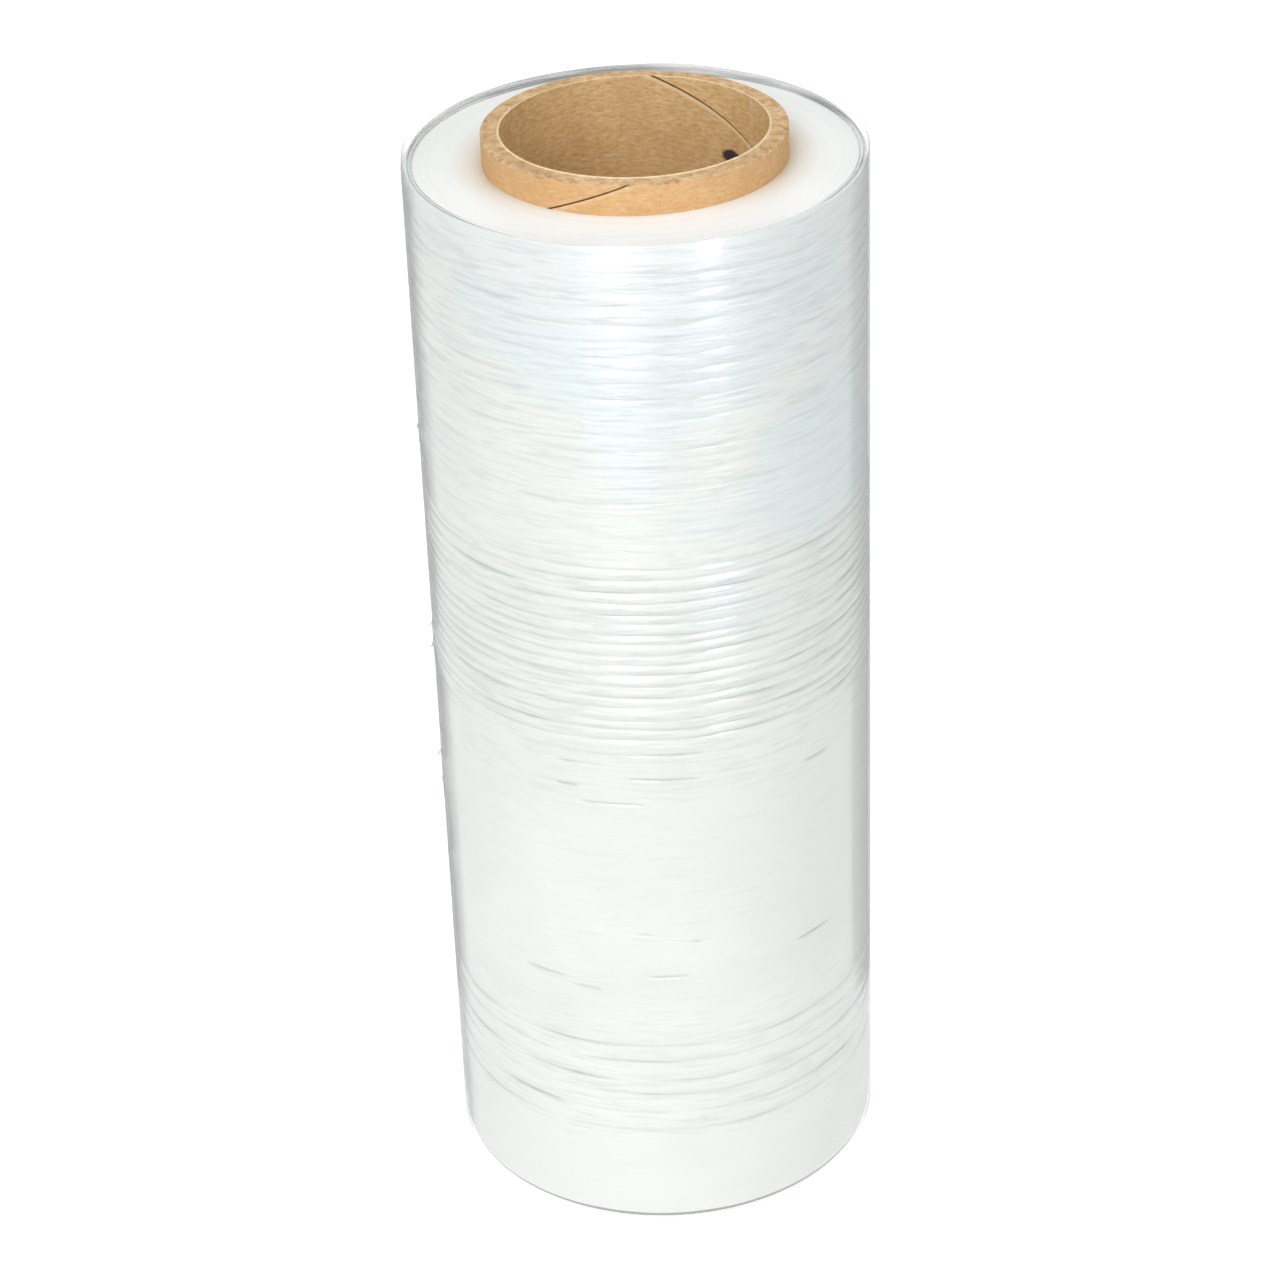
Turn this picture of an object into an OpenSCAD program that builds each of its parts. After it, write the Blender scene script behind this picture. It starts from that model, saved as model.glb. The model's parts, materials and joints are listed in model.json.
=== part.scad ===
// Hand roll of stretch film on a spiral-wound paper tube, standing on the tube's lower rim.
// Millimetres, +Z along the roll, origin at the centre of the tube's lower rim.

/* [Core] */
// Bore of the paper tube, which fits a three inch mandrel
core_bore_d = 76.2; // [50:0.1:120]
// Wall of the paper tube
core_wall = 5.4; // [3:0.1:12]
// Length of bare tube between the first turns and each cut end
standout = 9; // [4:0.5:40]
// Width of the paper strips that are wound into the tube
strip_w = 98; // [60:1:140]
// Width of the butt seam between the edges of one strip
seam_w = 0.8; // [0.3:0.1:1.5]
// Depth of the butt seam, about one thickness of paper
seam_d = 0.4; // [0.2:0.05:0.8]
// Plies of paper through the wall
plies = 5; // [3:1:8]
// Width of the line that the saw leaves between two plies
ply_line_w = 0.25; // [0.1:0.05:0.4]
// Depth of that line
ply_line_d = 0.15; // [0.05:0.05:0.4]

/* [Film] */
// Width of the film web, the length of the wound part
web_w = 330; // [200:1:600]
// Thickness of the wound film, from the tube to the outside
build_up = 22.7; // [12:0.1:60]
// Height by which the last turns stand above the first ones
drift = 3.2; // [0:0.1:8]
// Groups of turns whose edges line up on the end faces
turn_groups = 13; // [6:1:20]
// Most that one group of turns stands off its neighbours
group_step = 0.35; // [0.1:0.05:0.8]

/* [Wrinkles] */
// Height of the tight ridges round the middle of the roll
ridge_h = 0.3; // [0.1:0.05:0.6]
// Distance between the tight ridges
ridge_pitch = 3.7; // [3:0.1:12]
// Height of the fine ridges near both ends
fine_h = 0.15; // [0.05:0.05:0.4]
// Distance between the fine ridges
fine_pitch = 5.5; // [4:0.5:20]
// Height of the short wrinkles that run part of the way round
welt_h = 0.35; // [0.1:0.05:0.7]
// Width of one short wrinkle
welt_w = 1.8; // [0.8:0.1:4]

/* [Tail] */
// Thickness of the loose last turn, with the air under it
tail_t = 0.4; // [0.15:0.05:1]
// Part of the way round that the loose last turn covers
tail_sweep = 70; // [20:5:150]
// Bearing of the loose edge, seen from above
tail_at = 198; // [0:1:360]
// How much the stretched last turn has drawn in at each side
tail_in = 0.6; // [0.2:0.1:3]

/* [Hidden] */
$fn = 180;

bore_r = core_bore_d / 2;
core_r = bore_r + core_wall;
core_len = web_w + 2 * standout;
film_r = core_r + build_up;

// The strips run at a slant, so that one turn climbs a little more than a strip's width
strip_lean = atan(2 * PI * core_r / strip_w);
seam_lead = strip_w / sin(strip_lean);
seam_w_z = seam_w / sin(strip_lean);
// Bearings at which the two seams reach the upper rim
inner_seam_at = 81;
outer_seam_at = -93;
// Straight pieces in one turn of a seam
seam_steps = 48;
// How far a seam's cutter reaches past the wall that it cuts
past = 1;
// How deep a wrinkle and the loose turn reach into the turns below
rooted = 0.6;

// Bands of ridges: start and end as shares of the web, from its lower edge
fine_low = [0.10, 0.215];
tight = [0.53, 0.70];
fine_high = [0.855, 0.97];
// Width of one ridge as a share of the distance between ridges
ridge_share = 0.55;
// How far the ridges lie from even spacing, as a share of that distance
scatter = 0.2;
// Degrees from one ridge, or one group of turns, to the next in the sine that scatters them
ridge_phase = 137;
group_phase = 200;
// Short wrinkles: [share of the web, bearing of one end, sweep]
welts = [
    [0.256, 246, 7], [0.264, 231, 13], [0.273, 266, 11], [0.28, 308, 14], [0.309, 277, 4],
    [0.318, 263, 5], [0.40, 20, 60], [0.44, 70, 45], [0.458, 250, 17], [0.466, 311, 10],
    [0.474, 243, 6], [0.484, 262, 20], [0.498, 244, 13], [0.51, 262, 21]
];

function rings(band, pitch) =
    let (from = band[0] * web_w, n = floor((band[1] - band[0]) * web_w / pitch))
    [for (i = [0 : n]) from + (i + scatter * sin(ridge_phase * i)) * pitch];

// How late in the winding the drift begins: the last turns stand up as a lip
drift_power = 4;
// Height of a group's lower edge above the first turns' lower edge, the same as at the top
function group_rise(i) =
    let (uneven = i == turn_groups - 1 ? 0 : group_step * sin(group_phase * i) / 2)
    drift * pow(i / (turn_groups - 1), drift_power) + uneven;
function group_r(i) = core_r + build_up * i / turn_groups;
rise_out = group_rise(turn_groups - 1);

// One ridge as three points of the outline, from below
function ridge(z, h, w) = [[0, z - w / 2], [h, z], [0, z + w / 2]];
function ridges(band, pitch, h) =
    [for (z = rings(band, pitch)) each ridge(z, h, ridge_share * pitch)];
function wall_line(extra) = [
    for (p = concat(
        ridges(fine_low, fine_pitch, fine_h), ridges(tight, ridge_pitch, ridge_h),
        ridges(fine_high, fine_pitch, fine_h)
    )) [film_r + extra + p[0], standout + rise_out + p[1]]
];

// A groove that climbs round the tube from below one rim to above the other
module seam_cutter(r_from, r_to, at) {
    steps = ceil((core_len + 2 * past) / seam_lead * seam_steps) + 1;
    z_from = core_len + past - (steps * seam_lead) / seam_steps;
    section = [[r_from, -1], [r_to, -1], [r_to, 1], [r_from, 1]];
    turned = [for (i = [0 : steps])
        let (z = z_from + i * seam_lead / seam_steps, a = at + (z - core_len) * 360 / seam_lead)
        for (p = section) [p[0] * cos(a), p[0] * sin(a), z + p[1] * seam_w_z / 2]];
    sides = [for (i = [0 : steps - 1], k = [0 : 3])
        let (a = 4 * i + k, b = 4 * i + (k + 1) % 4)
        each [[a, b, b + 4], [a, b + 4, a + 4]]];
    last = 4 * steps;
    polyhedron(turned, concat(
        [[0, 3, 2], [0, 2, 1]], sides, [[last, last + 1, last + 2], [last, last + 2, last + 3]]));
}

// The tube's wall, with the lines between its plies on both rims
module core() {
    ply_t = core_wall / plies;
    lines = [for (i = [1 : plies - 1]) bore_r + i * ply_t];
    low = [for (r = lines) each [[r - ply_line_w / 2, 0], [r, ply_line_d], [r + ply_line_w / 2, 0]]];
    high = [for (i = [len(low) - 1 : -1 : 0]) [low[i][0], core_len - low[i][1]]];
    color("#d9ac74") difference() {
        rotate_extrude() polygon(concat(
            [[bore_r, 0]], low, [[core_r, 0], [core_r, core_len]], high, [[bore_r, core_len]]));
        seam_cutter(bore_r - past, bore_r + seam_d, inner_seam_at);
        seam_cutter(core_r - seam_d, core_r + past, outer_seam_at);
    }
}

// A wrinkle of the last turns that runs part of the way round
module welt(w) {
    z = standout + rise_out + w[0] * web_w;
    half_w = (welt_w / 2) * (1 + rooted / welt_h);
    rotate([0, 0, w[1]]) rotate_extrude(angle = w[2])
        polygon([[film_r - rooted, z - half_w], [film_r + welt_h, z], [film_r - rooted, z + half_w]]);
}

// The loose last turn, which lies on the ridges below it
module tail() {
    low = standout + rise_out + tail_in;
    high = standout + rise_out + web_w - tail_in;
    rotate([0, 0, tail_at - tail_sweep]) rotate_extrude(angle = tail_sweep)
        polygon(concat(
            [[film_r - rooted, low], [film_r + tail_t, low]], wall_line(tail_t),
            [[film_r + tail_t, high], [film_r - rooted, high]]));
}

// All the turns as one solid: every group of turns is a whole web wide and a little out of line
module film() {
    low = [for (i = [0 : turn_groups - 1])
        each [[group_r(i), standout + group_rise(i)], [group_r(i + 1), standout + group_rise(i)]]];
    high = [for (i = [len(low) - 1 : -1 : 0]) [low[i][0], low[i][1] + web_w]];
    color("#eef2f1") {
        rotate_extrude() polygon(concat(low, wall_line(0), high));
        for (w = welts) welt(w);
        tail();
    }
}

core();
film();
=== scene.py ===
"""Looks for a hand roll of stretch film on a spiral-wound paper tube.

The roll stands on its tube with +Z up. The film's sides, end faces and standing edge and the paper tube are
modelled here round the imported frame, and the camera and the soft studio light follow the photograph.
"""

import json
import math
import random
from functools import partial

import bmesh
import bpy
import numpy as np
from mathutils import Matrix, Vector


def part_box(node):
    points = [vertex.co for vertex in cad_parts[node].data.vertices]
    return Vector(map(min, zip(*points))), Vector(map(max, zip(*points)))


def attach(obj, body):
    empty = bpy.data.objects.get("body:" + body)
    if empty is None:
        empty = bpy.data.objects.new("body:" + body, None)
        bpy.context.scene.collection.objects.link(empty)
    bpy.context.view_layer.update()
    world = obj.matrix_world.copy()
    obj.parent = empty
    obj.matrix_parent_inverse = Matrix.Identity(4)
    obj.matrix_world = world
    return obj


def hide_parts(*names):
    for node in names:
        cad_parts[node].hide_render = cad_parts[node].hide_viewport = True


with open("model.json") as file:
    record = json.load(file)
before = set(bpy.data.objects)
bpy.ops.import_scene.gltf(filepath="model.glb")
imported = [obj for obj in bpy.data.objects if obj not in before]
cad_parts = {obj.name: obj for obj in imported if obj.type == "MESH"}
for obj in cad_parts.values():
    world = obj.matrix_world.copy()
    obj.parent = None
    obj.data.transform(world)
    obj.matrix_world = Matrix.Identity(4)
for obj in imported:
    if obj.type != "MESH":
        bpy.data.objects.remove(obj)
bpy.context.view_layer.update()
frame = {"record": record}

MM = 0.001
TURN = 2 * math.pi
# Places closer together than this are the same place
HAIR = 1e-6

# Sizes of the tube and the film, in metres, from the frame
CORE_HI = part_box("core")[1]
FILM_LO, FILM_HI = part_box("film")
BORE_R = next(m for m in frame["record"]["mounts"] if m["kind"] == "bore")["dims"]["r_mm"] * MM
CORE_R = CORE_HI.x
CORE_LEN = CORE_HI.z
FILM_TOP = FILM_HI.z
STANDOUT = FILM_LO.z
# The film's radius without its wrinkles, the height by which the last turns stand off the first, and the web's width
FILM_R = 66.2 * MM
DRIFT = 3.2 * MM
WEB = FILM_TOP - DRIFT - STANDOUT

# The camera, worked out from the edges of the photograph, taken to be 1280 pixels wide
PHOTO_W = 1280
FOCAL_PX = 3577.6
CAM_BACK = 944.7 * MM
CAM_UP = 722.5 * MM
CAM_YAW, CAM_PITCH, CAM_ROLL = -0.225, 29.806, -2.123
SENSOR = 36.0

# Size of one step of each pattern in mm, round the roll and along it.
# Paper fibres are under 0.1 mm wide and film creping is about as fine, so both are drawn as coarse as they show.
PAPER_CLOUD, FIBRE_TUFT, BARK_FLECK = (11.1, 11.1), (2.38, 0.769), (1.11, 0.4545)
AIR_PATCH, CREPE, CREPE_SWELL, CREASE_BREAK = (62.5, 45.5), (13.33, 1.25), (23.8, 2.38), (20, 2)
EDGE_CLOUD, CLEAR_FOLD = (41.7, 41.7), (33.3, 1.43)
# Step from groove to groove, and from one group of turns to the next, across the end faces
EDGE_GROOVE, EDGE_GROUP = 0.714, 4.17


def srgb(code):
    """A colour written as sRGB hex, as linear red, green, blue and alpha."""
    parts = [int(code[i : i + 2], 16) / 255 for i in (1, 3, 5)]
    return (*[c / 12.92 if c <= 0.04045 else ((c + 0.055) / 1.055) ** 2.4 for c in parts], 1.0)


def grey(level):
    """A plain level from 0 to 1, for masks and lights."""
    return (level, level, level, 1.0)


# Nodes

# Settings of the nodes that do arithmetic or mix two colours
TIMES, PLUS, LESS = ({"operation": kind} for kind in ("MULTIPLY", "ADD", "SUBTRACT"))
TIMES_PLUS, LARGER, SMALLER = ({"operation": kind} for kind in ("MULTIPLY_ADD", "MAXIMUM", "MINIMUM"))
COLOURS = {"data_type": "RGBA"}


def node(tree, kind, settings=None, **links):
    """Adds one node and gives back its outputs.

    settings are its own values, and stops are a ramp's (place, colour) pairs. links are its sockets, by name or by
    i and a number, and each gets a plain value or another node's output.
    """
    made = tree.nodes.new("ShaderNode" + kind)
    for key, value in (settings or {}).items():
        if key == "stops":
            band = made.color_ramp.elements
            band[0].position, band[0].color = value[0]
            band[1].position, band[1].color = value[-1]
            for place, colour in value[1:-1]:
                band.new(place).color = colour
        else:
            setattr(made, key, value)
    for name, value in links.items():
        by_number = name[0] == "i" and name[1:].isdigit()
        socket = made.inputs[int(name[1:]) if by_number else name.replace("_", " ")]
        if isinstance(value, bpy.types.NodeSocket):
            tree.links.new(value, socket)
        else:
            socket.default_value = value
    return made.outputs


def new_material(name):
    """An empty material, and the function that adds nodes to it."""
    made = bpy.data.materials.new(name)
    made.use_nodes = True
    made.node_tree.nodes.clear()
    return made, partial(node, made.node_tree)


def surfaced(add, **sockets):
    """Ends a material with its shader and its output."""
    shader = add("BsdfPrincipled", **sockets)
    add("OutputMaterial", Surface=shader["BSDF"])


def place_on(add):
    """Where a point lies on the piece, in metres."""
    return add("TexCoord")["Object"]


def steps_of(add, size):
    """The piece's own coordinates, stretched so that one step of a pattern has its size round and along the roll."""
    round_it, along_it = (1 / (part * MM) for part in size)
    return add("Mapping", Vector=place_on(add), Scale=(round_it, round_it, along_it))["Vector"]


def from_axis(add):
    """Distance from the roll's axis."""
    flat = add("VectorMath", TIMES, i0=place_on(add), i1=(1, 1, 0))[0]
    return add("VectorMath", {"operation": "LENGTH"}, i0=flat)["Value"]


def over_seam(add, seam_at):
    """How far a point of the tube lies above its helical seam, in metres and less than one climb of the seam."""
    parts = add("SeparateXYZ", Vector=place_on(add))
    bearing = add("Math", {"operation": "ARCTAN2"}, i0=parts["Y"], i1=parts["X"])[0]
    climbed = add("Math", TIMES_PLUS, i0=bearing, i1=-SEAM_LEAD / TURN, i2=parts["Z"])[0]
    # Whole climbs are added so that the remainder below never starts from a negative height
    start = seam_at * SEAM_LEAD / TURN - CORE_LEN + 9 * SEAM_LEAD
    above = add("Math", PLUS, i0=climbed, i1=start)[0]
    return add("Math", {"operation": "MODULO"}, i0=above, i1=SEAM_LEAD)[0]


# Materials

def kraft_paper(name, base, dark, light, cut=False, seam_at=None, ink=False):
    """Kraft paper, machine made and wound damp with glue: brown and matt, with short pale and dark fibres.

    Beside a seam a paler line runs along the strip's edge, a painted highlight where the edge stands up as a lip
    and catches the light. The bore has one dot of ink, as a winder's mark.
    """
    made, add = new_material(name)
    cloud = add("TexNoise", Vector=steps_of(add, PAPER_CLOUD), Scale=1.0, Detail=4.0)["Fac"]
    fibre = add("TexNoise", Vector=steps_of(add, FIBRE_TUFT), Scale=1.0, Detail=5.0, Roughness=0.7)["Fac"]
    fleck = add("TexNoise", Vector=steps_of(add, BARK_FLECK), Scale=1.0, Detail=2.0)["Fac"]
    tufts = [(0.28, srgb(dark)), (0.5, srgb(base)), (0.74, srgb(light))]
    colour = add("ValToRGB", {"stops": tufts}, Fac=fibre)["Color"]
    clouds = add("ValToRGB", {"stops": [(0.35, grey(0.0)), (0.7, grey(0.35))]}, Fac=cloud)["Color"]
    colour = add("Mix", COLOURS, i0=clouds, i6=colour, i7=srgb(dark))[2]
    specks = add("ValToRGB", {"stops": [(0.68, grey(0.0)), (0.76, grey(0.55))]}, Fac=fleck)["Color"]
    colour = add("Mix", COLOURS, i0=specks, i6=colour, i7=srgb("#7a5630"))[2]
    if seam_at is not None:
        # Painted highlight: a pale line along the seam's edge, where its raised lip would catch the light
        under = add("Math", LESS, i0=SEAM_LEAD, i1=over_seam(add, seam_at))[0]
        pale_edge = add("MapRange", Value=under, From_Min=0.9 * MM, From_Max=1.6 * MM,
                   To_Min=0.8 if ink else 0.25, To_Max=0.0)[0]
        colour = add("Mix", COLOURS, i0=pale_edge, i6=colour, i7=srgb("#f6e0b8"))[2]
    if ink:
        flattened = add("VectorMath", TIMES, i0=place_on(add), i1=INK_SQUASH)[0]
        middle = tuple(np.multiply(INK_DOT, INK_SQUASH))
        away = add("VectorMath", {"operation": "DISTANCE"}, i0=flattened, i1=middle)["Value"]
        soaked = add("Math", TIMES_PLUS, i0=fibre, i1=1.2 * MM, i2=away)[0]
        spot = add("MapRange", Value=soaked, From_Min=2.6 * MM, From_Max=3.4 * MM, To_Min=0.95, To_Max=0.0)[0]
        colour = add("Mix", COLOURS, i0=spot, i6=colour, i7=srgb("#28243c"))[2]
    grain = add("Bump", Height=fibre, Strength=0.35 if cut else 0.2, Distance=0.25 * MM)["Normal"]
    surfaced(add, Base_Color=colour, Normal=grain, Roughness=0.78, Specular_IOR_Level=0.3)
    return made


def wound_film():
    """Polyethylene stretch film, cast and wound tight: glossy, and milky where many turns lie together.

    Air caught between the turns makes it nearly white, in patches that are cooler higher up. Its colour is also
    painted lighter and warmer to the left and cooler to the right, as painted light. Each wrinkle is painted with a
    thin grey line of painted shade, and fine creping runs round the roll between the wrinkles, with painted shade in
    its hollows.
    The lower corner is painted grey, a line of painted shade along the lower edge.
    """
    made, add = new_material("wound_stretch_film")
    parts = add("SeparateXYZ", Vector=place_on(add))
    height = parts["Z"]
    ruffle = add("Attribute", {"attribute_name": "ruffle"})["Fac"]
    painted_shade_mark = add("Attribute", {"attribute_name": "crease"})["Fac"]

    # Painted light: the side is painted lighter and warmer to the left and cooler to the right, as if lit from the
    # left
    to_left = add("Math", SMALLER, i0=parts["X"], i1=0.0)[0]
    raised = add("Math", TIMES, i0=height, i1=1 / CORE_LEN)[0]
    side_light_and_height = add("Math", TIMES_PLUS, i0=to_left, i1=4.0, i2=raised)[0]
    patch = add("TexNoise", Vector=steps_of(add, AIR_PATCH), Scale=1.0, Detail=3.0)["Fac"]
    centred = add("Math", LESS, i0=patch, i1=0.5)[0]
    mottled = add("Math", TIMES_PLUS, i0=centred, i1=1.1, i2=side_light_and_height)[0]
    milky = [(0.1, srgb("#fdfdfb")), (0.35, srgb("#f6f6f3")), (0.68, srgb("#f4f5f1")), (0.9, srgb("#ebf2f6"))]
    colour = add("ValToRGB", {"stops": milky}, Fac=mottled)["Color"]
    # Painted shade: the top 30 mm of the side is painted a little darker and cooler, to tone down the light there
    rim = add("MapRange", Value=height, From_Min=FILM_TOP - 30 * MM, From_Max=FILM_TOP - 5 * MM)[0]
    colour = add("Mix", COLOURS, i0=rim, i6=colour, i7=srgb("#eff2f2"))[2]

    streak = add("TexNoise", Vector=steps_of(add, CREPE), Scale=1.0, Detail=4.0, Roughness=0.6, Distortion=0.5)["Fac"]
    # Painted shade in the creping's hollows and the swells' troughs, where their relief would be shaded
    hollows = add("ValToRGB", {"stops": [(0.34, grey(1.0)), (0.5, grey(0.0))]}, Fac=streak)["Color"]
    hollow_shade = add("Math", TIMES, i0=hollows, i1=ruffle)[0]
    colour = add("Mix", COLOURS, i0=hollow_shade, i6=colour, i7=srgb("#cfd6d5"))[2]
    swell = add("TexNoise", Vector=steps_of(add, CREPE_SWELL), Scale=1.0, Detail=3.0, Roughness=0.55,
                Distortion=0.6)["Fac"]
    troughs = add("ValToRGB", {"stops": [(0.36, grey(0.6)), (0.48, grey(0.0))]}, Fac=swell)["Color"]
    shaded = add("Math", TIMES, i0=troughs, i1=ruffle)[0]
    colour = add("Mix", COLOURS, i0=shaded, i6=colour, i7=srgb("#d9dfe3"))[2]

    breaks = add("TexNoise", Vector=steps_of(add, CREASE_BREAK), Scale=1.0, Detail=3.0)["Fac"]
    broken = add("ValToRGB", {"stops": [(0.36, grey(0.25)), (0.56, grey(1.0))]}, Fac=breaks)["Color"]
    # Painted shade: a thin grey line in each wrinkle and along the lower edge, broken up by noise
    broken_shade_mark = add("Math", TIMES, i0=painted_shade_mark, i1=broken)[0]
    shade_mark_amount = add("Math", TIMES, i0=broken_shade_mark, i1=0.8)[0]
    colour = add("Mix", COLOURS, i0=shade_mark_amount, i6=colour, i7=srgb("#a6adaa"))[2]
    # Painted shade: the lower corner is painted grey, a line of shade along the film's lower edge
    foot = STANDOUT + DRIFT
    corner = add("MapRange", Value=height, From_Min=foot + 0.3 * MM, From_Max=foot + 0.75 * MM,
                 To_Min=0.8, To_Max=0.0)[0]
    colour = add("Mix", COLOURS, i0=corner, i6=colour, i7=srgb("#9a9ea1"))[2]

    waves = add("Math", TIMES_PLUS, i0=swell, i1=2.2, i2=streak)[0]
    strength = add("Math", PLUS, i0=ruffle, i1=0.12)[0]
    relief = add("Math", TIMES, i0=waves, i1=strength)[0]
    creped = add("Bump", Height=relief, Strength=0.4, Distance=0.8 * MM)["Normal"]
    surfaced(add, Base_Color=colour, Normal=creped, Roughness=0.34, IOR=1.5, Coat_Weight=1.0, Coat_Roughness=0.14,
             Coat_Tint=srgb("#f5f7f6"))
    return made


def film_edges():
    """The slit edges of about a thousand turns side by side: creamy, satin and finely grooved round the tube.

    Close to the tube the brown paper shows through the few turns that cover it. Towards the front the faces are
    painted whiter and the brown fades, as painted light.
    """
    made, add = new_material("edges_of_the_turns")
    out = from_axis(add)
    across = add("CombineXYZ", X=out)[0]
    grooves = add("TexNoise", Vector=across, Scale=1 / (EDGE_GROOVE * MM), Detail=3.0, Roughness=0.6)["Fac"]
    groups = add("TexNoise", Vector=across, Scale=1 / (EDGE_GROUP * MM), Detail=2.0)["Fac"]
    cloud = add("TexNoise", Vector=steps_of(add, EDGE_CLOUD), Scale=1.0, Detail=3.0)["Fac"]
    colour = add("ValToRGB", {"stops": [(0.35, srgb("#ecf0ef")), (0.65, srgb("#f2f5f5"))]}, Fac=cloud)["Color"]
    rings = add("ValToRGB", {"stops": [(0.35, grey(0.5)), (0.55, grey(0.0))]}, Fac=groups)["Color"]
    colour = add("Mix", COLOURS, i0=rings, i6=colour, i7=srgb("#e6e7e4"))[2]
    near = add("MapRange", Value=out, From_Min=CORE_R, From_Max=CORE_R + 9 * MM, To_Min=0.8, To_Max=0.0)[0]
    # Painted light: the end face is painted whiter and less brown towards the front, as if lit from the front
    to_back = add("SeparateXYZ", Vector=place_on(add))["Y"]
    painted_light_fade = add("MapRange", Value=to_back, From_Min=-CORE_R, From_Max=-0.4 * CORE_R, To_Min=0.1, To_Max=1.0)[0]
    colour = add("Mix", COLOURS, i0=painted_light_fade, i6=srgb("#f5f7f7"), i7=colour)[2]
    browned = add("Math", TIMES, i0=near, i1=painted_light_fade)[0]
    colour = add("Mix", COLOURS, i0=browned, i6=colour, i7=srgb("#cfc4ae"))[2]
    grooved = add("Bump", Height=grooves, Strength=0.25, Distance=0.15 * MM)["Normal"]
    surfaced(add, Base_Color=colour, Normal=grooved, Roughness=0.5, IOR=1.5)
    return made


def thin_film(name, dark, pale, clearest):
    """The same film one or a few turns thick: clear where one looks straight through it, and grey seen edge on."""
    made, add = new_material(name)
    folds = add("TexNoise", Vector=steps_of(add, CLEAR_FOLD), Scale=1.0, Detail=3.0)["Fac"]
    colour = add("ValToRGB", {"stops": [(0.38, srgb(dark)), (0.62, srgb(pale))]}, Fac=folds)["Color"]
    facing = add("LayerWeight", Blend=0.5)["Facing"]
    edge_on = add("Math", {"operation": "POWER"}, i0=facing, i1=8.0)[0]
    seen = add("MapRange", Value=edge_on, To_Min=clearest, To_Max=0.65)[0]
    surfaced(add, Base_Color=colour, Alpha=seen, Roughness=0.14, IOR=1.5)
    return made


def slit_edge():
    """The cut edge of the last turn, where a blade slit the web: dull and grey, as it lets no light through."""
    made, add = new_material("slit_edge_of_film")
    surfaced(add, Base_Color=srgb("#8b9492"), Roughness=0.5)
    return made


# Modelling

def deselect():
    if bpy.context.object and bpy.context.object.mode != "OBJECT":
        bpy.ops.object.mode_set(mode="OBJECT")
    bpy.ops.object.select_all(action="DESELECT")


def activate(piece):
    deselect()
    piece.select_set(True)
    bpy.context.view_layer.objects.active = piece


def pick_edges(piece, test):
    """In edit mode, selects the edges that a test picks by the places of their two ends, and nothing else."""
    bpy.ops.mesh.select_mode(type="EDGE")
    bpy.ops.mesh.select_all(action="DESELECT")
    shape = bmesh.from_edit_mesh(piece.data)
    for edge in shape.edges:
        edge.select_set(test(edge.verts[0].co, edge.verts[1].co))
    shape.select_flush_mode()
    bmesh.update_edit_mesh(piece.data)


def divided(rows):
    """Splits a number of rows into factors that one subdivision can make."""
    parts = []
    while rows > 100:
        factor = next(f for f in (2, 3, 5, 7, 11) if rows % f == 0)
        parts.append(factor)
        rows //= factor
    return parts + [rows]


def cut_rows(piece, test, rows):
    """Divides the edges that the test picks into that many equal stretches."""
    for share in divided(rows):
        pick_edges(piece, test)
        bpy.ops.mesh.subdivide(number_cuts=share - 1)


def face_outwards(piece):
    """Turns all faces of a closed shape or a sheet to its outside."""
    activate(piece)
    bpy.ops.object.mode_set(mode="EDIT")
    bpy.ops.mesh.select_all(action="SELECT")
    bpy.ops.mesh.normals_make_consistent(inside=False)
    bpy.ops.object.mode_set(mode="OBJECT")


def section(name, r_in, r_out, z_low, z_high, rim_rows, wall_rows, inner_rows=1):
    """A ring's cross-section as a flat outline, with its upper and lower edges and its walls divided into rows."""
    deselect()
    bpy.ops.mesh.primitive_plane_add(size=1, location=(0, 0, 0))
    piece = bpy.context.object
    piece.name = piece.data.name = name
    bpy.ops.object.mode_set(mode="EDIT")
    bpy.ops.mesh.delete(type="ONLY_FACE")
    shape = bmesh.from_edit_mesh(piece.data)
    for v in shape.verts:
        v.co = (r_in if v.co.x < 0 else r_out, 0, z_low if v.co.y < 0 else z_high)
    bmesh.update_edit_mesh(piece.data)
    cut_rows(piece, lambda a, b: abs(a.z - b.z) < HAIR, rim_rows)
    for r_wall, rows in ((r_out, wall_rows), (r_in, inner_rows)):
        if rows > 1:
            cut_rows(piece, lambda a, b: abs(a.x - r_wall) < HAIR and abs(b.x - r_wall) < HAIR, rows)
    return piece


def spun(piece, sides):
    """Spins the outline in edit mode into a closed ring whose faces point outwards."""
    bpy.ops.mesh.select_all(action="SELECT")
    bpy.ops.mesh.spin(steps=sides, angle=TURN, center=(0, 0, 0), axis=(0, 0, 1))
    bpy.ops.mesh.select_all(action="SELECT")
    bpy.ops.mesh.remove_doubles(threshold=HAIR)
    face_outwards(piece)


def points(piece):
    """The places of a mesh's points, one row each."""
    co = np.empty(len(piece.data.vertices) * 3)
    piece.data.vertices.foreach_get("co", co)
    return co.reshape(-1, 3)


def put(piece, co):
    """Moves a mesh's points to new places."""
    piece.data.vertices.foreach_set("co", co.astype(np.float32).ravel())
    piece.data.update()


def put_round(piece, r, bearing, z):
    """Moves a mesh's points to new places, given by radius, bearing and height."""
    put(piece, np.stack([r * np.cos(bearing), r * np.sin(bearing), z], 1))


def smooth(piece, degrees):
    """Shades a piece smooth, but for the corners that are sharper than this."""
    activate(piece)
    bpy.ops.object.shade_smooth_by_angle(angle=math.radians(degrees))


def wave(bearing, seed, parts=5, first=1):
    """A smooth random line round the roll, from about -1 to 1, that closes on itself.

    It is a sum of sines. first is how many times the slowest of them swings in one turn.
    """
    dice = random.Random(seed)
    total = np.zeros_like(bearing)
    for i in range(parts):
        total += dice.uniform(0.4, 1.0) * np.sin((first + i) * bearing + dice.uniform(0, TURN))
    return total / (0.62 * parts)


# The paper tube

# Rows of faces across the rims and up both walls, and faces round
RIM_ROWS, TUBE_ROWS, TUBE_SIDES = 24, 12, 240
PLIES = 5
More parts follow.
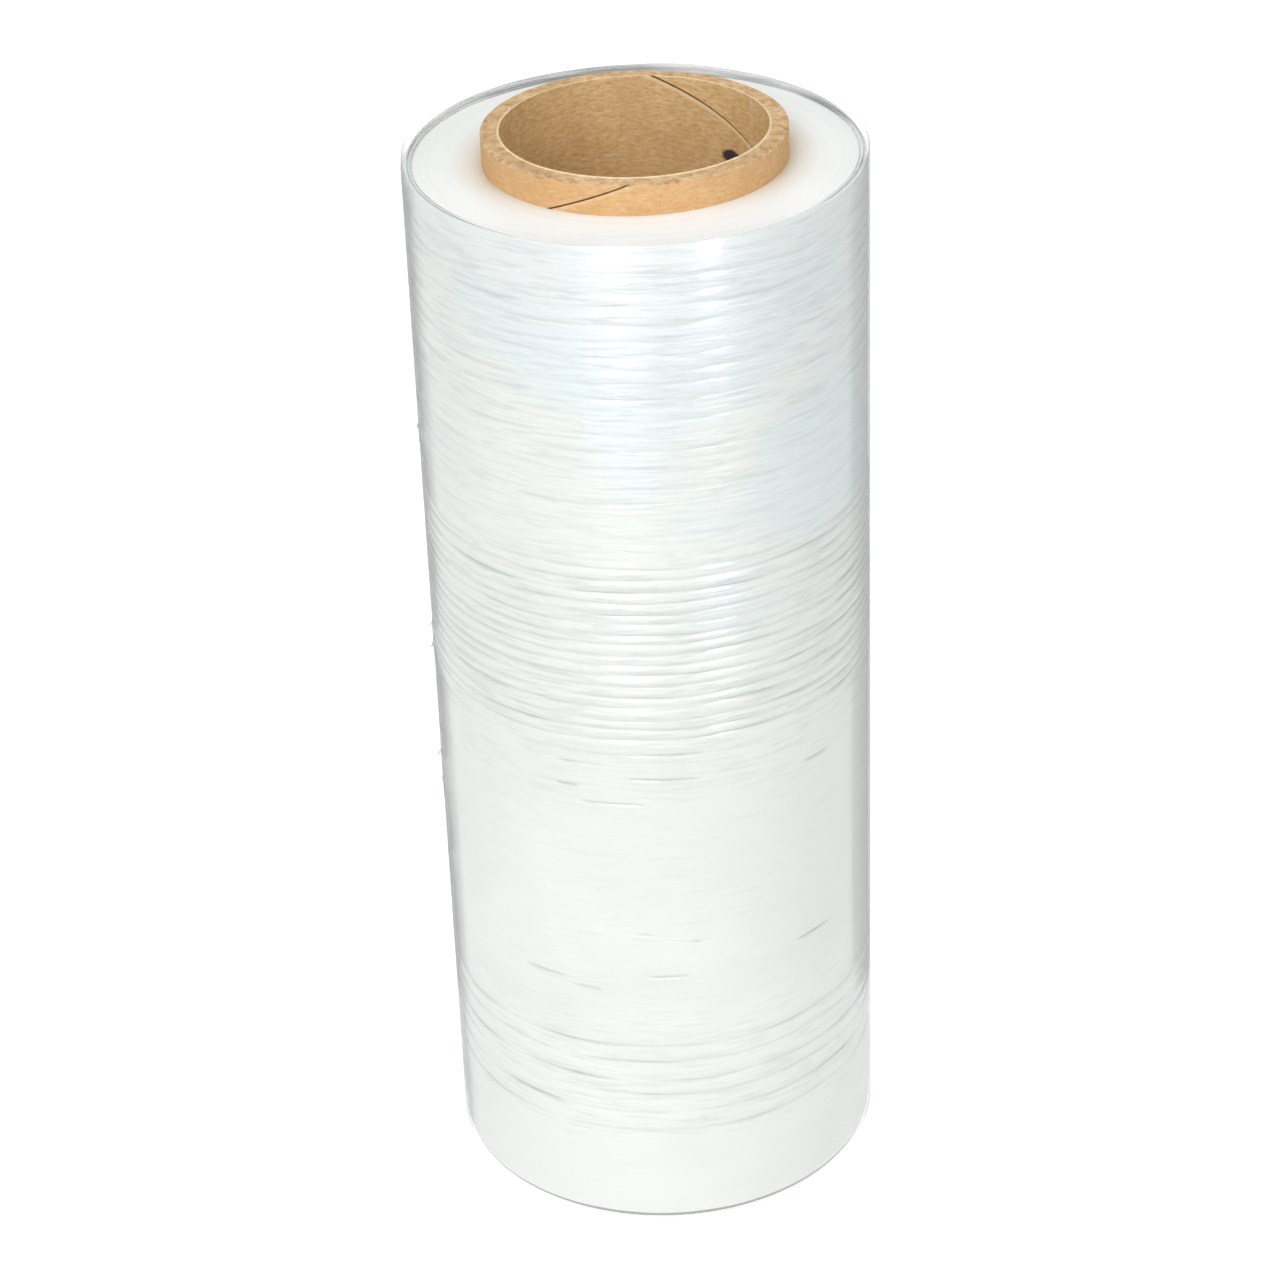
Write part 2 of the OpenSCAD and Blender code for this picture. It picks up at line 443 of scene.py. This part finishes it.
# The two butt seams: climb in one turn, width and depth, and the bearings at which they reach the upper rim
SEAM_LEAD = 105.2 * MM
INNER_SEAM_W, OUTER_SEAM_W, SEAM_D = 0.8 * MM, 0.52 * MM, 0.4 * MM
INNER_SEAM_AT, OUTER_SEAM_AT = math.radians(81), math.radians(-93)
# How far a cutter reaches past the wall and the rims, and the straight pieces in its length
PAST_WALL, PAST_RIM, CUTTER_ROWS = 2 * MM, 3 * MM, 220
# The nick in the outer corner of the upper rim: bearing, half width and depth
NICK_AT, NICK_W, NICK_D = math.radians(-126), math.radians(4), 0.5 * MM
# The dot of ink in the bore, and how it is flattened: wider round the bore than it is high
INK_AT = math.radians(42.4)
INK_DOT = (BORE_R * math.cos(INK_AT), BORE_R * math.sin(INK_AT), CORE_LEN - 21 * MM)
INK_SQUASH = (0.6, 0.6, 1.1)


def rim_height(r):
    """How far the saw-cut rim stands above or below its plane at a radius: burr, plies and worn outer corner."""
    t = (r - BORE_R) / (CORE_R - BORE_R)
    burr = 0.28 * MM * np.exp(-((t - 0.04) / 0.05) ** 2)
    to_line = (t * PLIES + 0.5) % 1 - 0.5
    ply = -0.10 * MM * np.exp(-(to_line / 0.12) ** 2) * (t > 0.1) * (t < 0.92)
    worn = -0.3 * MM * np.clip((t - 0.88) / 0.12, 0, 1) ** 2
    return burr + ply + worn


def wrapped_strip(name, r_low, r_high, width, at):
    """A straight bar, divided along its length and wound round the tube's axis as a helix that passes both rims."""
    deselect()
    bpy.ops.mesh.primitive_cube_add(size=1)
    piece = bpy.context.object
    piece.name = piece.data.name = name
    bpy.ops.object.mode_set(mode="EDIT")
    cut_rows(piece, lambda a, b: abs(a.x - b.x) > HAIR, CUTTER_ROWS)
    bpy.ops.object.mode_set(mode="OBJECT")
    co = points(piece)
    z = (co[:, 0] + 0.5) * (CORE_LEN + 2 * PAST_RIM) - PAST_RIM
    bearing = at + (z - CORE_LEN) / SEAM_LEAD * TURN
    put_round(piece, np.where(co[:, 1] < 0, r_high, r_low), bearing, z + co[:, 2] * width)
    face_outwards(piece)
    return piece


def carve(piece, cutter):
    """Cuts the cutter's shape out of the piece and deletes the cutter."""
    activate(piece)
    cut = piece.modifiers.new("cut", "BOOLEAN")
    cut.operation, cut.solver, cut.object = "DIFFERENCE", "EXACT", cutter
    bpy.ops.object.modifier_apply(modifier=cut.name)
    bpy.data.objects.remove(cutter)


def paper_tube():
    """The tube with its two helical seams and its saw-cut rims. It stands on the lower rim, which has no burr."""
    tube = section("paper_tube", BORE_R, CORE_R, 0, CORE_LEN, RIM_ROWS, TUBE_ROWS, TUBE_ROWS)
    spun(tube, TUBE_SIDES)
    co = points(tube)
    r = np.hypot(co[:, 0], co[:, 1])
    bearing = np.arctan2(co[:, 1], co[:, 0])
    upper, lower = co[:, 2] > CORE_LEN - HAIR, co[:, 2] < HAIR
    uneven = 0.10 * MM * wave(bearing, 4, 9, 2) * (0.4 + 0.6 * (r - BORE_R) / (CORE_R - BORE_R))
    at_corner = np.clip((r - CORE_R + 1.3 * MM) / MM, 0, 1)
    nick = NICK_D * np.exp(-((bearing - NICK_AT) / NICK_W) ** 2) * at_corner
    co[:, 2] += np.where(upper, rim_height(r) + uneven - nick, 0)
    co[:, 2] -= np.where(lower, np.minimum(rim_height(r), 0), 0)
    put(tube, co)
    carve(tube, wrapped_strip("inner_seam", BORE_R - PAST_WALL, BORE_R + SEAM_D, INNER_SEAM_W, INNER_SEAM_AT))
    carve(tube, wrapped_strip("outer_seam", CORE_R - SEAM_D, CORE_R + PAST_WALL, OUTER_SEAM_W, OUTER_SEAM_AT))
    smooth(tube, 30)
    paint_tube(tube)
    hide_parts("core")
    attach(tube, "root")


def paint_tube(tube):
    """Gives each face its paper: outer liner, inner liner, sawn rim, glue in the seam, painted darker as shade in its
    groove, or torn corner of the bore.
    """
    for paper in (
        kraft_paper("kraft_liner_outside", "#d9ae7b", "#cb9b66", "#e5c294", seam_at=OUTER_SEAM_AT),
        kraft_paper("kraft_liner_bore", "#e4c18c", "#c69e68", "#f6deb4", seam_at=INNER_SEAM_AT, ink=True),
        kraft_paper("sawn_kraft_board", "#d4b084", "#9f7849", "#f0d8b2", cut=True),
        # The seam's faces have the glue's brown, darkened further as painted shade in the groove
        kraft_paper("seam_glue_and_groove_shade", "#7d5c33", "#624623", "#977446"),
        kraft_paper("torn_kraft_edge", "#ead5ae", "#d9bd8e", "#f6e7c9", cut=True),
    ):
        tube.data.materials.append(paper)
    outside, bore, sawn, seam_groove, pale_edge = range(5)
    rim, corner, skin = 1.2 * MM, 0.6 * MM, 0.12 * MM
    for face in tube.data.polygons:
        c = face.center
        r = math.hypot(c.x, c.y)
        if abs(face.normal.z) > 0.6 and (c.z < rim or c.z > CORE_LEN - rim):
            face.material_index = pale_edge if r < BORE_R + corner else sawn
        elif BORE_R + skin < r < CORE_R - skin:
            face.material_index = seam_groove
        else:
            face.material_index = outside if r > (BORE_R + CORE_R) / 2 else bore


# The wound film

# Faces round, rows of faces between two wrinkles, across the end faces, and up a clear turn
FILM_SIDES = 200
ROPE_ROWS = 6
EDGE_ROWS = 22
CLEAR_ROWS = 10
# Rows of a clear turn below the foot of its collar
PLAIN_ROWS = 3
# Height to which the last turns stand above the ones inside them
LIP_H = 2.6 * MM
# Real film is about 0.02 mm thick. The last turns are a few layers, and both are drawn thick enough to show
CLEAR_T, TAIL_T = 0.12 * MM, 0.08 * MM
# The loose turn: bearing of its free edge, degrees that it covers, and how much it has drawn in at each side
TAIL_AT, TAIL_SWEEP = 198, 70
TAIL_IN = 0.6 * MM
# Puckers along the loose edge: height above its lower end, how far it stands off, and half its length, in mm
PUCKERS = [
    (262, 0.7, 2), (248, 1.2, 2.5), (221, 0.7, 4), (181, 1.7, 3.5), (175, 1.2, 2), (136, 1.6, 3), (128, 1.1, 4),
    (104, 0.8, 3), (60, 0.6, 5),
]
# Bands of wrinkles: start and end as shares of the web, then spacing, depth and bulge in mm
BANDS = [
    (0.02, 0.09, 11, 0.02, 0.02), (0.10, 0.215, 6.2, 0.32, 0.2), (0.225, 0.45, 15, 0.02, 0.02),
    (0.525, 0.70, 3.5, 0.28, 0.42), (0.705, 0.85, 5.5, 0.07, 0.06), (0.855, 0.98, 4.2, 0.14, 0.12),
]
# Short wrinkles: share of the web, bearing of one end, and sweep
SHORT = [
    (0.256, 246, 7), (0.264, 231, 13), (0.273, 266, 11), (0.28, 308, 14), (0.309, 277, 3), (0.318, 263, 5),
    (0.40, 20, 60), (0.44, 70, 45), (0.458, 250, 17), (0.466, 311, 10), (0.474, 243, 7), (0.484, 262, 20),
    (0.498, 244, 13), (0.51, 262, 21),
]
# Depth of a short wrinkle, and height of the fold below it
SHORT_DEPTH, SHORT_FOLD = 0.32 * MM, 0.25 * MM
# How far the body lies inside the smooth last turn
UNDER = 0.62 * MM
# Share of a wrinkle's depth that is left under the loose turn, which covers it
COVERED = 0.35
# Fine creping, from 0 to 1, as (share of the web, amount)
CREPING = [
    (0.0, 0.03), (0.08, 0.06), (0.11, 0.3), (0.20, 0.3), (0.24, 0.10), (0.44, 0.12), (0.52, 0.35), (0.55, 0.5),
    (0.68, 0.5), (0.72, 0.3), (0.86, 0.55), (0.96, 0.6), (1.0, 0.45),
]


def creases():
    """Every wrinkle from the lower edge up: height, depth, bulge of the rope below it, start and sweep."""
    dice = random.Random(12)
    made = [(share * WEB, SHORT_DEPTH, 0, start, sweep) for share, start, sweep in SHORT]
    for start, end, spacing, depth, bulge in BANDS:
        z = start * WEB
        while z < end * WEB - 0.4 * spacing * MM:
            made.append((z, depth * MM * dice.uniform(0.6, 1.15), bulge * MM * dice.uniform(0.5, 1.3), 0, 360))
            z += spacing * MM * dice.uniform(0.75, 1.25)
    return sorted(made)


CREASES = creases()
WALL_ROWS = (len(CREASES) + 1) * ROPE_ROWS


def crease_line(i, bearing):
    """Height of one wrinkle at a bearing. The first and last lines are the web's edges, which don't wander."""
    if i < 0 or i == len(CREASES):
        return np.full_like(bearing, 0.0 if i < 0 else WEB)
    return CREASES[i][0] + 0.6 * MM * wave(bearing, 500 + i, 6, 2)


def row_heights(bearing, row):
    """Height of every point on the film's side: its rows lie close together at each wrinkle."""
    column = np.rint((bearing / TURN + 0.5) * FILM_SIDES).astype(int) % FILM_SIDES
    round_it = (np.arange(FILM_SIDES) / FILM_SIDES - 0.5) * TURN
    lines = np.array([crease_line(i, round_it) for i in range(-1, len(CREASES) + 1)])
    rope, step = np.minimum(row // ROPE_ROWS, len(CREASES)), row % ROPE_ROWS
    low, high = lines[rope, column], lines[rope + 1, column]
    near, by = np.minimum(0.35 * MM, 0.12 * (high - low)), np.minimum(0.9 * MM, 0.3 * (high - low))
    z = np.choose(step, [low, low + near, low + by, (low + high) / 2, high - by, high - near])
    return np.where(row == WALL_ROWS, WEB, z)


def wall_relief(bearing, z):
    """How far the film's side stands off a plain cylinder, and how deep in a wrinkle each point lies, from 0 to 1."""
    relief = 0.10 * MM * np.sin(z / (23 * MM)) + 0.06 * MM * wave(bearing, 9, 3, 1)
    in_crease = np.zeros_like(z)
    below = crease_line(-1, bearing)
    past_tail = (np.degrees(bearing) - TAIL_AT + 4) % 360
    clear_of_tail = np.minimum(past_tail, 360 - TAIL_SWEEP - past_tail)
    bare = COVERED + (1 - COVERED) * np.clip(clear_of_tail / 10, 0, 1)
    for i, (_, depth, bulge, start, sweep) in enumerate(CREASES):
        line = crease_line(i, bearing)
        if sweep < 360:
            along = (np.degrees(bearing) - start) % 360 / sweep
            strength = np.clip(6 * along * (1 - along), 0, 1) * (along < 1)
            relief += SHORT_FOLD * np.exp(-((z - line + 0.8 * MM) / (0.6 * MM)) ** 2) * strength
        else:
            strength = np.clip(0.5 + wave(bearing, 100 + i, 10, 3), 0.0, 1.3) * bare
        hollow = np.exp(-np.abs(z - line) / ((0.38 if sweep == 360 else 0.28) * MM)) * strength
        relief -= depth * hollow
        in_crease = np.maximum(in_crease, hollow * depth / (0.3 * MM))
        t = (z - below) / (line - below)
        fullness = np.clip(0.75 + 0.5 * wave(bearing, 300 + i, 6, 2), 0.1, 1.2)
        relief += ((t > 0) & (t < 1)) * bulge * (1 - (2 * t - 1) ** 2) * fullness
        below = line
    return relief, np.clip(in_crease, 0, 0.8)


def film_piece(piece):
    """Says that a piece stands for the film."""
    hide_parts("film")
    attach(piece, "root")


def film_body(film, edges):
    """All the turns but the standing edge, with a rope of film between each two wrinkles."""
    low, high = STANDOUT + DRIFT, STANDOUT + DRIFT + WEB
    body = section("wound_film", CORE_R, FILM_R, low, high, EDGE_ROWS, WALL_ROWS)
    spun(body, FILM_SIDES)
    co = points(body)
    r = np.hypot(co[:, 0], co[:, 1])
    bearing = np.arctan2(co[:, 1], co[:, 0])
    share = (co[:, 2] - low) / WEB
    row = np.clip(np.rint(share * WALL_ROWS).astype(int), 0, WALL_ROWS)
    wall = r > FILM_R - HAIR
    z = np.where(wall, row_heights(bearing, row), share * WEB)

    # The side: wrinkles that fade out at both edges, and corners that are rounded, the upper one more
    fade = np.clip(np.minimum(z, WEB - z) / (6 * MM), 0, 1)
    relief, in_crease = wall_relief(bearing, z)
    rounded_low = 0.35 * MM * np.clip(1 - z / (0.9 * MM), 0, 1) ** 2
    rounded_high = 0.5 * MM * np.clip(1 - (WEB - z) / (2.5 * MM), 0, 1) ** 2
    r_new = np.where(wall, r - UNDER + relief * fade - rounded_low - rounded_high, r)

    # The end faces: both are dished upwards to the last turns, and single turns stand off a little
    edge = (r - CORE_R) / (FILM_R - CORE_R)
    dish = (DRIFT - (DRIFT - LIP_H) * edge ** 4) * (share > 1 - HAIR)
    turned_up = (DRIFT * (1 - edge ** 4)) * (share < HAIR)
    loose_groups = np.clip(0.5 + wave(edge * 40, 21, 5, 1), 0, 1)
    turns = 0.05 * MM * (np.sin(edge * 170) * loose_groups + wave(bearing + edge * 30, 22, 5, 1))
    z_new = low + z - dish - turned_up + turns * ~wall
    z_new = np.where(wall & (share > 0.5), np.minimum(z_new, high - LIP_H), z_new)
    put_round(body, r_new, bearing, z_new)

    # Painted shade along the lower edge and in the wrinkles, kept as an attribute for the material
    painted_foot_shade = 2 * np.clip(1.8 - z / (0.45 * MM), 0, 1)
    crease = np.maximum(in_crease * fade, painted_foot_shade) * wall
    ruffle = np.interp(z / WEB, *zip(*CREPING)) * wall
    for name, value in (("crease", crease), ("ruffle", ruffle)):
        mark = body.data.attributes.new(name, "FLOAT", "POINT")
        mark.data.foreach_set("value", value.astype(np.float32))
    smooth(body, 60)
    body.data.materials.append(film)
    body.data.materials.append(edges)
    for face in body.data.polygons:
        out = math.hypot(face.center.x, face.center.y)
        face.material_index = int(abs(face.normal.z) > 0.8 and out < FILM_R - 1.5 * MM)
    film_piece(body)


def thickened(piece, thickness):
    """Gives a sheet its thickness, with the modifier applied."""
    activate(piece)
    wall = piece.modifiers.new("wall", "SOLIDIFY")
    wall.thickness, wall.offset = thickness, -1
    bpy.ops.object.modifier_apply(modifier=wall.name)


def clear_turn(name, inset, low, height, front, seed, film, slit):
    """One of the last turns as a smooth clear tube, whose upper edge stands up past the others as a collar.

    inset is how far it lies inside the outermost one, low is the height of its lower end above the web's, and front
    is how much of the collar's height is left at the front, where it lies flat on the turns inside it.
    """
    root, top = STANDOUT + DRIFT + low, STANDOUT + DRIFT + WEB - LIP_H + height
    deselect()
    bpy.ops.mesh.primitive_cylinder_add(
        vertices=FILM_SIDES, radius=FILM_R - inset, depth=top - root, end_fill_type="NOTHING",
        location=(0, 0, (root + top) / 2))
    turn = bpy.context.object
    turn.name = turn.data.name = name
    bpy.ops.object.transform_apply(location=True)
    bpy.ops.object.mode_set(mode="EDIT")
    cut_rows(turn, lambda a, b: abs(a.z - b.z) > HAIR, CLEAR_ROWS)
    bpy.ops.object.mode_set(mode="OBJECT")
    co = points(turn)
    bearing = np.arctan2(co[:, 1], co[:, 0])
    row = np.rint((co[:, 2] - root) / (top - root) * CLEAR_ROWS)
    collar = np.clip((row - PLAIN_ROWS) / (CLEAR_ROWS - PLAIN_ROWS), 0, 1)
    ragged = 0.12 * wave(bearing, seed, 7, 1) + 0.05 * wave(bearing, seed + 1, 9, 9)
    collar_h = height + 0.6 * MM
    foot = top - collar_h
    stands = front + (1 - front) * (1 + np.sin(bearing)) / 2
    rise = collar * collar_h * (1 - np.clip(0.12 - ragged, 0, 0.35) * collar) * stands
    z = np.where(row <= PLAIN_ROWS, root + (foot - root) * row / PLAIN_ROWS, foot + rise)
    lean = 1 - (0.10 * MM + 0.16 * MM * wave(bearing, seed + 2, 6, 2)) * collar ** 2 / FILM_R
    put(turn, np.stack([co[:, 0] * lean, co[:, 1] * lean, z], 1))
    thickened(turn, CLEAR_T)
    smooth(turn, 50)
    turn.data.materials.append(film)
    turn.data.materials.append(slit)
    for face in turn.data.polygons:
        face.material_index = int(abs(face.normal.z) > 0.7 and face.center.y > -0.3 * FILM_R)
    film_piece(turn)


def loose_turn(film):
    """The end of the web, stuck down at the back. Its cut edge curls and puckers at the left of the photograph."""
    deselect()
    bpy.ops.mesh.primitive_grid_add(x_subdivisions=90, y_subdivisions=260, size=1)
    tail = bpy.context.object
    tail.name = tail.data.name = "loose_turn"
    co = points(tail)
    along, z = co[:, 0] + 0.5, (co[:, 1] + 0.5) * (WEB - 2 * TAIL_IN - LIP_H)
    ragged = 1.2 * wave(z * 40, 31, 6, 1) + 0.5 * wave(z * 300, 32, 6, 3)
    lift = np.zeros_like(z)
    for height, size, reach in PUCKERS:
        lift += size * MM * np.exp(-((z - height * MM) / (reach * MM)) ** 2)
    # Where it stands off, the edge is also pulled back, by degrees
    drawn_back = 6.5 * np.clip(lift / MM, 0, 1.4)
    sweep = TAIL_SWEEP + (ragged - drawn_back) * along
    bearing = np.radians(TAIL_AT - TAIL_SWEEP + along * sweep)
    curl = np.clip((along - 0.93) / 0.07, 0, 1) ** 1.2
    stuck = np.clip(along / 0.08, 0, 1)
    folds = 0.08 * MM * (1 + wave(z * 120, 33, 6, 2)) * np.clip((along - 0.6) / 0.4, 0, 1)
    r = FILM_R + 0.04 * MM + stuck * (0.10 * MM + folds + lift * curl)
    put_round(tail, r, bearing, STANDOUT + DRIFT + TAIL_IN + z)
    face_outwards(tail)
    thickened(tail, TAIL_T)
    smooth(tail, 50)
    tail.data.materials.append(film)
    film_piece(tail)


# Stage, light and camera

# Height at which the lamps look, near the roll's middle
AIM_H = 170 * MM


def background_ray(add):
    """1 for a ray by which the background is seen or mirrored, and 0 for one that lights the object."""
    path = add("LightPath")
    seen = add("Math", LARGER, i0=path["Is Camera Ray"], i1=path["Is Glossy Ray"])[0]
    return add("Math", LARGER, i0=seen, i1=path["Is Transmission Ray"])[0]


def stage():
    """A pale matt floor, which looks white as the background does and keeps the roll's shadow."""
    deselect()
    bpy.ops.mesh.primitive_plane_add(size=8)
    floor = bpy.context.object
    floor.name = "floor"
    made, add = new_material("pale_floor")
    glow = add("MapRange", Value=background_ray(add), To_Min=0.0, To_Max=0.62)[0]
    surfaced(add, Base_Color=srgb("#e8e8e8"), Roughness=0.9, Emission_Color=grey(1.0), Emission_Strength=glow)
    floor.data.materials.append(made)


def daylight():
    """Even pale light all round, brighter from the front. The background is white where it is seen or mirrored."""
    world = bpy.data.worlds.new("studio")
    bpy.context.scene.world = world
    world.use_nodes = True
    world.node_tree.nodes.clear()
    add = partial(node, world.node_tree)
    to_back = add("SeparateXYZ", Vector=add("TexCoord")["Generated"])["Y"]
    soft = add("MapRange", Value=to_back, From_Min=-1, From_Max=1, To_Min=0.5, To_Max=0.38)[0]
    seen = background_ray(add)
    level = add("Math", LARGER, i0=seen, i1=soft)[0]
    tint = add("Mix", COLOURS, i0=seen, i6=(0.99, 1.0, 0.98, 1.0), i7=grey(1.0))[2]
    light = add("Background", Color=tint, Strength=level)[0]
    add("OutputWorld", Surface=light)


def lamp(name, bearing, elevation, distance, width, height, watts, tint=(1.0, 1.0, 1.0)):
    """A soft rectangular lamp that looks at the roll's middle. Bearings start at the front and grow to the right."""
    target = Vector((0, 0, AIM_H))
    a, e = math.radians(bearing), math.radians(elevation)
    place = target + distance * Vector((math.sin(a) * math.cos(e), -math.cos(a) * math.cos(e), math.sin(e)))
    data = bpy.data.lights.new(name, "AREA")
    data.shape, data.size, data.size_y, data.energy = "RECTANGLE", width, height, watts
    data.color = tint
    made = bpy.data.objects.new(name, data)
    bpy.context.collection.objects.link(made)
    made.location = place
    made.rotation_euler = (target - place).to_track_quat("-Z", "Y").to_euler()
    made.visible_camera = False


def card(name, bearing, distance, width, low, high, level):
    """An upright card that only gloss sees: a bright one is a softbox, and a dark one greys the film's sides."""
    a = math.radians(bearing)
    deselect()
    place = (distance * math.sin(a), -distance * math.cos(a), (low + high) / 2)
    bpy.ops.mesh.primitive_plane_add(size=1, location=place, rotation=(math.pi / 2, 0, a))
    made = bpy.context.object
    made.name = name
    made.scale = (width, high - low, 1)
    finish, add = new_material(name)
    surfaced(add, Base_Color=grey(0.0), Emission_Color=grey(1.0), Emission_Strength=level)
    made.data.materials.append(finish)
    made.visible_camera = made.visible_diffuse = made.visible_shadow = made.visible_transmission = False


def photo_camera():
    """The camera at the photograph's place and with its lens."""
    y, p, r = (math.radians(v) for v in (CAM_YAW, CAM_PITCH, CAM_ROLL))
    ahead = Vector((math.sin(y) * math.cos(p), math.cos(y) * math.cos(p), -math.sin(p)))
    side = Vector((math.cos(y), -math.sin(y), 0))
    up = side.cross(ahead)
    right = math.cos(r) * side + math.sin(r) * up
    above = -math.sin(r) * side + math.cos(r) * up
    data = bpy.data.cameras.new("camera")
    data.sensor_width = SENSOR
    data.lens = FOCAL_PX / PHOTO_W * SENSOR
    data.clip_start, data.clip_end = 0.01, 50
    made = bpy.data.objects.new("camera", data)
    bpy.context.collection.objects.link(made)
    turned = Matrix((right, above, -ahead)).transposed().to_4x4()
    made.matrix_world = Matrix.Translation((0, -CAM_BACK, CAM_UP)) @ turned
    bpy.context.scene.camera = made


photo_camera()
daylight()
# Bearing and elevation in degrees, distance, width and height in metres, and watts
lamp("key", -24, 44, 1.8, 1.0, 1.0, 11.6, tint=(1.0, 0.985, 1.0))
lamp("overhead", 0, 86, 1.6, 1.2, 1.2, 6.7)
lamp("strip_left", -9, 10, 1.7, 0.22, 1.0, 4.5)
lamp("strip_right", 27, 10, 1.7, 0.15, 1.0, 2)
lamp("fill_right", 75, 36, 0.55, 0.3, 0.1, 0.13)
lamp("back", 180, 3, 1.8, 1.0, 0.8, 7)
# Bearing in degrees, distance, width, lower and upper end in metres, and level
card("softbox_left", -10, 0.45, 0.085, 0.185, 0.45, 16)
card("softbox_right", 32, 0.45, 0.06, 0.185, 0.45, 14)
card("flag_left", -140, 0.115, 0.12, 0, 0.34, 0.8)
card("flag_right", 140, 0.115, 0.16, 0, 0.34, 0.6)
stage()
paper_tube()
clear = thin_film("single_turn_of_film", "#929b99", "#b2bab8", 0.015)
hazy = thin_film("few_turns_of_film", "#959d9b", "#eceeee", 0.5)
film_body(wound_film(), film_edges())
clear_turn("last_turn", 0, 0, LIP_H, 1, 51, clear, slit_edge())
# Only the collars of the turns inside the last one can be seen, so they start just below it
INNER_LOW = WEB - 3.6 * MM
clear_turn("turn_before", 1.6 * MM, INNER_LOW, 1.1 * LIP_H, 0.1, 61, hazy, hazy)
clear_turn("turn_inside", 2.7 * MM, INNER_LOW, 0.7 * LIP_H, 0.05, 71, hazy, hazy)
loose_turn(clear)

bpy.context.scene.view_settings.view_transform = "Standard"
